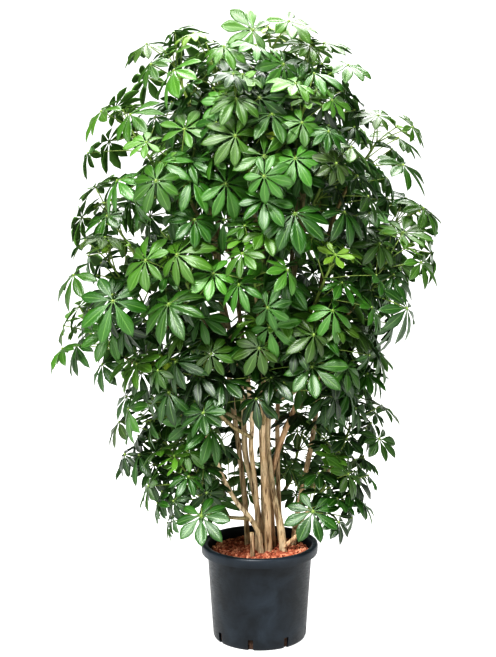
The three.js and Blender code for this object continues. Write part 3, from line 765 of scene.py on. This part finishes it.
INNER_DROOP = (0.15, 0.55)

wood_spots = []
for points in [[metres(p) for p in course] for _, course in STEMS.values()] + [branch_points(*s) for s in SHOOTS]:
    steps = round(run_length(points) / WOOD_SPOT_SPACING)
    wood_spots += [smooth_point(points, (len(points) - 1) * k / steps) for k in range(steps + 1)]
wood_near = KDTree(len(wood_spots))
for i, spot in enumerate(wood_spots):
    wood_near.insert(spot, i)
wood_near.balance()


def wood_of_shoot(stem, height, foot, top):
    course = STEMS[stem][1]
    beside = [metres(p) for p in course[-3:-1]] if height == course[-1][2] else []
    if metres(top).z < LOW_SHOOT_HEIGHT:
        beside = [point_at_height(course, height + above) for above in LOW_LEAVES_ABOVE_BRANCH_MM]
    return beside + branch_points(stem, height, foot, top)[::2] + [metres(top)]


def inner_leaf(run, hubs):
    for _ in range(INNER_TRIES):
        position = leaf_draw.uniform(*INNER_PLACE) * (len(run) - 1)
        start = smooth_point(run, position)
        ahead = (smooth_point(run, min(position + LOOK_AHEAD, len(run) - 1)) - start).normalized()
        reach = Vector([leaf_draw.gauss(0, 1) for _ in range(3)]).normalized()
        aim = (ahead * INNER_AHEAD + reach + UP * INNER_UP).normalized()
        aim.z = max(aim.z, LOWEST_AIM)
        aim.normalize()
        stalk = leaf_draw.uniform(*INNER_STALK)
        sway = Vector([leaf_draw.uniform(-INNER_SWAY, INNER_SWAY) for _ in range(3)])
        facing = leaf_draw.uniform(*INNER_FACING)
        leaf = leaf_pose(start, stalk, aim, flat_outward(start + aim * stalk), sway, facing)
        hub = leaf["hub"]
        clear_height = POT_CLEAR_HEIGHT if hub.y > 0 else POT_CLEAR_HEIGHT_IN_FRONT
        over_pot = math.hypot(hub.x, hub.y) < POT_CLEAR_RADIUS and hub.z < clear_height
        beside_bare_stems = abs(hub.x - BARE_STEMS_X) < BARE_STEMS_HALF_WIDTH and hub.z < BARE_STEMS_TOP
        hides_stems = beside_bare_stems and hub.y < BARE_STEMS_BACK
        free = min((hub - other).length for other in hubs) > HUB_CLEARANCE
        if free and not over_pot and not hides_stems and wood_near.find(hub)[2] > WOOD_CLEARANCE:
            size = longest_leaflet(run[-1]) * leaf_draw.uniform(*INNER_SIZE)
            leaf.update(size=size, droop=leaf_draw.uniform(*INNER_DROOP), share=0)
            return leaf
    return None


NEW_LEAF_LEAN = (0.35, 0.9)
NEW_LEAF_UP = 0.2
NEW_LEAF_GAP = 0.004
NEW_LEAF_STALK = (0.035, 0.075)
NEW_LEAF_SIZE = (0.035, 0.068)
NEW_LEAF_DROOP = (-0.3, 0.15)
NEW_LEAF_FACING = 0.75


def new_leaf(top, axis, number):
    turn = leaf_draw.uniform(0, 2 * math.pi)
    right = axis.cross(UP).normalized()
    reach = right * math.cos(turn) + axis.cross(right) * math.sin(turn)
    aim = (axis + reach * leaf_draw.uniform(*NEW_LEAF_LEAN) + UP * NEW_LEAF_UP).normalized()
    start = top - axis * NEW_LEAF_GAP * number
    stalk = leaf_draw.uniform(*NEW_LEAF_STALK)
    leaf = leaf_pose(start, stalk, aim, flat_outward(top), Vector((0, 0, 0)), NEW_LEAF_FACING)
    leaf.update(size=leaf_draw.uniform(*NEW_LEAF_SIZE), droop=leaf_draw.uniform(*NEW_LEAF_DROOP), share=1)
    return leaf


# A leaflet is broadest past its middle, folds up from its rib, waves at its edge, droops and rolls towards its tip.
# Those that point back to the leaf's stalk are the shortest.
BACK_LEAFLET_SHARE, FRONT_LEAFLET_GAIN = 0.7, 0.3
LEAFLET_LENGTH_DRAW = (0.94, 1.04)
LEAFLET_ROLL = 0.5
LEAFLET_DROOP_SPAN = 0.24
ROWS_TO_ENDS = 0.055
BROADEST_AT, EDGE_ROUNDNESS = 1.4, 0.85
LEAFLET_STALK_RADIUS = 0.0013
DROOP_EVENLY, DROOP_AT_TIP = 0.3, 0.7
FOLD, FOLD_EASE, EDGE_WAVE = 0.44, 0.16, 0.1
WAVES = 9
BENT_LENGTH_SHARE = 0.95
BLADE_COLUMNS = 4


def add_leaflet(bm, tone_layer, leaf, angle, tone, narrow, rows):
    out = leaf["front"] * math.cos(angle) + leaf["left"] * math.sin(angle)
    across = out.cross(leaf["normal"])
    share_of_longest = BACK_LEAFLET_SHARE + FRONT_LEAFLET_GAIN * math.cos(angle / 2) ** 2
    length = leaf["size"] * share_of_longest * leaf_draw.uniform(*LEAFLET_LENGTH_DRAW)
    half = length * LEAFLET_HALF_WIDTH * narrow
    roll = leaf_draw.uniform(-LEAFLET_ROLL, LEAFLET_ROLL)
    wave = leaf_draw.uniform(0, 2 * math.pi)
    droop = leaf["droop"] + leaf_draw.uniform(0, LEAFLET_DROOP_SPAN)
    made = bmesh.ops.create_grid(
        bm, x_segments=BLADE_COLUMNS, y_segments=rows, size=1, calc_uvs=True
    )["verts"]
    for vert in made:
        side, u = vert.co.x, (vert.co.y + 1) / 2
        t = u - ROWS_TO_ENDS * math.sin(2 * math.pi * u)
        blade = min(1, max(0, (t - LEAFLET_STALK_SHARE) / (1 - LEAFLET_STALK_SHARE)))
        fullness = max(0, math.sin(math.pi * blade ** BROADEST_AT)) ** EDGE_ROUNDNESS
        width = half * fullness + LEAFLET_STALK_RADIUS * (1 - t)
        drop = length * droop * (DROOP_EVENLY * t + DROOP_AT_TIP * t * t)
        ripple = EDGE_WAVE * side * side * math.sin(WAVES * t + wave + side)
        lift = width * (FOLD * abs(side) - FOLD_EASE * side * side + ripple)
        middle = leaf["hub"] + out * (BENT_LENGTH_SHARE * length * t) - leaf["normal"] * drop
        tilted = across * math.cos(roll * t) + leaf["normal"] * math.sin(roll * t)
        vert.co = middle + tilted * (side * width) + leaf["normal"] * lift
        vert[tone_layer] = tone


MANY_LEAFLETS_SHARE, FEW_LEAFLETS_SHARE = 0.97, 0.9
ANGLE_DRAW = 0.09
SHADE_DRAW = 0.12
WIDTH_DRAW = (0.88, 1.1)
OUTER_BLADE_ROWS, INNER_BLADE_ROWS = 7, 5


def add_leaf(bm, tone_layer, leaf, leaflets, shade, youth, rows):
    fan_share = MANY_LEAFLETS_SHARE if leaflets > 7 else FEW_LEAFLETS_SHARE
    first = math.radians(BACK_GAP_DEG / 2 - 180) * fan_share
    for i in range(leaflets):
        angle = first * (1 - 2 * i / (leaflets - 1)) + leaf_draw.uniform(-ANGLE_DRAW, ANGLE_DRAW)
        own_shade = min(1, max(0, shade + leaf_draw.uniform(-SHADE_DRAW, SHADE_DRAW)))
        narrow = leaf_draw.uniform(*WIDTH_DRAW)
        add_leaflet(bm, tone_layer, leaf, angle, (own_shade, youth, 0, 1), narrow, rows)


STALK_BELOW_BLADE = 0.0012
STALK_ARCH = 0.03
STALK_FOOT_RADIUS, STALK_RADIUS = 0.0025, 0.0015
STALK_TAPER = 4
STALK_SIDES, STALK_RINGS = 6, 5
STALK_TONE = (0.5, 0, 0, 1)


def stalk_radius(share, angle):
    return blend(STALK_FOOT_RADIUS, STALK_RADIUS, min(1, share * STALK_TAPER))


def add_stalk(bm, tone_layer, leaf):
    start, hub = leaf["start"], leaf["hub"] - leaf["normal"] * STALK_BELOW_BLADE
    middle = (start + hub) / 2 + UP * (hub - start).length * STALK_ARCH
    add_tube(bm, [start, middle, hub], stalk_radius, STALK_SIDES, STALK_RINGS, STALK_TONE, tone_layer)


TWIG_FOOT_RADIUS, TWIG_TIP_RADIUS = 0.0046, 0.0026
TWIG_KNOBS, TWIG_KNOB_SHARE = 36, 0.12
TWIG_SIDES, TWIG_RINGS = 8, 12
TWIG_GAP = 0.00035
TWIG_PAST_TIP = 0.004
HUB_RADIUS = 0.0034
HUB_LIFT = 0.0002


def twig_radius(share, angle):
    knobs = 1 + TWIG_KNOB_SHARE * math.sin(TWIG_KNOBS * share)
    return blend(TWIG_FOOT_RADIUS, TWIG_TIP_RADIUS, share) * knobs


# The waxy upper side of a leathery leaflet: dark green and satin, its wax a second, softer gloss. It has a pale
# rib, a paler stalk end, and side veins about 9 mm apart in low relief. New leaves are yellow-green.
waxy_leaf, leaf_shader = new_material("waxy_leaf_upper_side", 0.34, Specular_IOR_Level=0.42, Coat_Weight=0.4)
leaf_shader.inputs["Coat Roughness"].default_value = 0.36
leaf_place = node(waxy_leaf, "ShaderNodeTexCoord")
leaf_tone = node(waxy_leaf, "ShaderNodeAttribute", {"attribute_name": "tone"})
leaf_parts = node(waxy_leaf, "ShaderNodeSeparateColor", Color=leaf_tone.outputs["Color"])
leaf_ramp = node(waxy_leaf, "ShaderNodeValToRGB", Fac=leaf_parts.outputs["Red"])
leaf_ramp.color_ramp.elements[0].color = linear("#102706")
leaf_ramp.color_ramp.elements[1].color = linear("#4a7c2a")
leaf_middle = leaf_ramp.color_ramp.elements.new(0.5)
leaf_middle.color = linear("#244e0f")
leaf_young = node(
    waxy_leaf, "ShaderNodeMix", {"data_type": "RGBA", 7: linear("#84962f")},
    i0=leaf_parts.outputs["Green"], i6=leaf_ramp.outputs["Color"],
)
leaf_uv = node(waxy_leaf, "ShaderNodeSeparateXYZ", Vector=leaf_place.outputs["UV"])
from_rib = node(waxy_leaf, "ShaderNodeMath", {"operation": "SUBTRACT", 1: 0.5}, i0=leaf_uv.outputs["X"])
rib_distance = node(waxy_leaf, "ShaderNodeMath", {"operation": "ABSOLUTE"}, i0=from_rib.outputs["Value"])
rib_share = node(
    waxy_leaf, "ShaderNodeMapRange", {"From Min": 0.0, "From Max": 0.06, "To Min": 0.28, "To Max": 0.0},
    Value=rib_distance.outputs["Value"],
)
leaf_ribbed = node(
    waxy_leaf, "ShaderNodeMix", {"data_type": "RGBA", 7: linear("#8fb169")},
    i0=rib_share.outputs["Result"], i6=leaf_young.outputs[2],
)
stalk_share = node(
    waxy_leaf, "ShaderNodeMapRange", {"From Min": 0.04, "From Max": 0.16, "To Min": 0.6, "To Max": 0.0},
    Value=leaf_uv.outputs["Y"],
)
leaf_colour = node(
    waxy_leaf, "ShaderNodeMix", {"data_type": "RGBA", 7: linear("#7f9a4a")},
    i0=stalk_share.outputs["Result"], i6=leaf_ribbed.outputs[2],
)
vein_slant = node(
    waxy_leaf, "ShaderNodeMath", {"operation": "MULTIPLY_ADD", 1: -0.55},
    i0=rib_distance.outputs["Value"], i2=leaf_uv.outputs["Y"],
)
vein_phase = node(waxy_leaf, "ShaderNodeMath", {"operation": "MULTIPLY", 1: 75.0}, i0=vein_slant.outputs["Value"])
veins = node(waxy_leaf, "ShaderNodeMath", {"operation": "SINE"}, i0=vein_phase.outputs["Value"])
leaf_patches = node(waxy_leaf, "ShaderNodeTexNoise", {"Scale": 38, "Detail": 3}, Vector=leaf_place.outputs["Object"])
leaf_height = node(
    waxy_leaf, "ShaderNodeMath", {"operation": "MULTIPLY_ADD", 1: 2.2},
    i0=leaf_patches.outputs["Fac"], i2=veins.outputs["Value"],
)
leaf_bump = node(
    waxy_leaf, "ShaderNodeBump", {"Strength": 0.3, "Distance": 0.0009}, Height=leaf_height.outputs["Value"]
)
leaf_rough = node(
    waxy_leaf, "ShaderNodeMapRange", {"From Min": 0.3, "From Max": 0.7, "To Min": 0.28, "To Max": 0.44},
    Value=leaf_patches.outputs["Fac"],
)
join_shader(
    waxy_leaf, leaf_shader,
    Base_Color=leaf_colour.outputs[2], Roughness=leaf_rough.outputs["Result"], Normal=leaf_bump.outputs["Normal"],
)

# The underside has no wax: matt, and a paler, greyer green.
leaf_under, under_shader = new_material("matt_leaf_underside", 0.6)
under_tone = node(leaf_under, "ShaderNodeAttribute", {"attribute_name": "tone"})
under_parts = node(leaf_under, "ShaderNodeSeparateColor", Color=under_tone.outputs["Color"])
under_green = node(
    leaf_under, "ShaderNodeMix", {"data_type": "RGBA", 6: linear("#2c5222"), 7: linear("#6c9444")},
    i0=under_parts.outputs["Red"],
)
join_shader(leaf_under, under_shader, Base_Color=under_green.outputs[2])

# Leaf stalks and green twigs: smooth, pale yellow-green, a little browner in places.
green_stalk, stalk_shader = new_material("green_leaf_stalk", 0.45)
stalk_place = node(green_stalk, "ShaderNodeTexCoord")
stalk_noise = node(
    green_stalk, "ShaderNodeTexNoise", {"Scale": 45, "Detail": 3}, Vector=stalk_place.outputs["Object"]
)
stalk_green = node(
    green_stalk, "ShaderNodeMix", {"data_type": "RGBA", 6: linear("#587a30"), 7: linear("#909c54")},
    i0=stalk_noise.outputs["Fac"],
)
join_shader(green_stalk, stalk_shader, Base_Color=stalk_green.outputs[2])

SHOOT_SHADE = (0.2, 0.7)
OUTER_SHADE = (-0.2, 0.25)
# Inner leaves are drawn darker than outer ones: partly older leaves, partly painted shade inside the crown.
INNER_TONE_AND_PAINTED_SHADE = (-0.25, 0.1)
NEW_LEAF_SHADE = 0.8
YELLOWED_SHARE, YELLOWED_YOUTH = 0.04, 0.35
TIP_YOUTH = 0.1
NEW_LEAF_YOUTHS = (0.15, 0.25, 0.35, 0.85)
OUTER_LEAFLETS = (7, 8, 8, 8, 9)
INNER_LEAFLETS = (7, 8, 8)
NEW_LEAFLETS = (5, 6, 7)
NEW_LEAVES = (2, 2, 3)
leaves_of = []
for index, shoot in enumerate(SHOOTS):
    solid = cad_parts[f"leafy_shoot_{index + 1:02d}"]
    leaves_of.append(shoot_leaves(index, metres(shoot[2]), metres(shoot[3]), solid))
hubs = [leaf["hub"] for leaves in leaves_of for leaf in leaves]
for index, shoot in enumerate(SHOOTS):
    foot, top = metres(shoot[2]), metres(shoot[3])
    axis = (top - foot).normalized()
    leaf_bm = bmesh.new()
    leaf_bm.loops.layers.uv.new("UVMap")
    leaf_layer = leaf_bm.verts.layers.float_color.new("tone")
    shoot_shade = leaf_draw.uniform(*SHOOT_SHADE)
    for leaf in leaves_of[index]:
        shade = shoot_shade + leaf_draw.uniform(*OUTER_SHADE)
        youth = YELLOWED_YOUTH if leaf_draw.random() < YELLOWED_SHARE else TIP_YOUTH * leaf["share"]
        add_leaf(leaf_bm, leaf_layer, leaf, leaf_draw.choice(OUTER_LEAFLETS), shade, youth, OUTER_BLADE_ROWS)
    run = wood_of_shoot(*shoot)
    for _ in range(LOW_SHOOT_INNER_LEAVES if top.z < LOW_SHOOT_HEIGHT else INNER_LEAVES):
        leaf = inner_leaf(run, hubs)
        if leaf:
            hubs.append(leaf["hub"])
            leaves_of[index].append(leaf)
            leaflets = leaf_draw.choice(INNER_LEAFLETS)
            shade = shoot_shade + leaf_draw.uniform(*INNER_TONE_AND_PAINTED_SHADE)
            add_leaf(leaf_bm, leaf_layer, leaf, leaflets, shade, 0, INNER_BLADE_ROWS)
    youth = leaf_draw.choice(NEW_LEAF_YOUTHS)
    for number in range(leaf_draw.choice(NEW_LEAVES)):
        leaf = new_leaf(top, axis, number)
        leaves_of[index].append(leaf)
        leaflets = leaf_draw.choice(NEW_LEAFLETS)
        add_leaf(leaf_bm, leaf_layer, leaf, leaflets, NEW_LEAF_SHADE, youth, INNER_BLADE_ROWS)
    bmesh.ops.remove_doubles(leaf_bm, verts=leaf_bm.verts, dist=WELD_DISTANCE)
    blade_backs = bmesh.ops.solidify(leaf_bm, geom=leaf_bm.faces[:], thickness=BLADE_THICKNESS)["geom"]
    for face in blade_backs:
        if isinstance(face, bmesh.types.BMFace):
            face.material_index = 1
    blade_faces = set(leaf_bm.faces)
    for leaf in leaves_of[index]:
        add_stalk(leaf_bm, leaf_layer, leaf)
        hub_place = Matrix.Translation(leaf["hub"] + leaf["normal"] * HUB_LIFT)
        bmesh.ops.create_icosphere(leaf_bm, subdivisions=1, radius=HUB_RADIUS, matrix=hub_place)
    twig = [foot + axis * TWIG_GAP, foot.lerp(top, 0.5), top + axis * TWIG_PAST_TIP]
    add_tube(leaf_bm, twig, twig_radius, TWIG_SIDES, TWIG_RINGS, STALK_TONE, leaf_layer)
    for face in leaf_bm.faces:
        if face not in blade_faces:
            face.material_index = 2
    shoot_piece = finish_piece(f"leaves_of_shoot_{index + 1:02d}", leaf_bm, [waxy_leaf, leaf_under, green_stalk])
    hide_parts(f"leafy_shoot_{index + 1:02d}")
    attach(shoot_piece, "root")

bpy.context.view_layer.update()
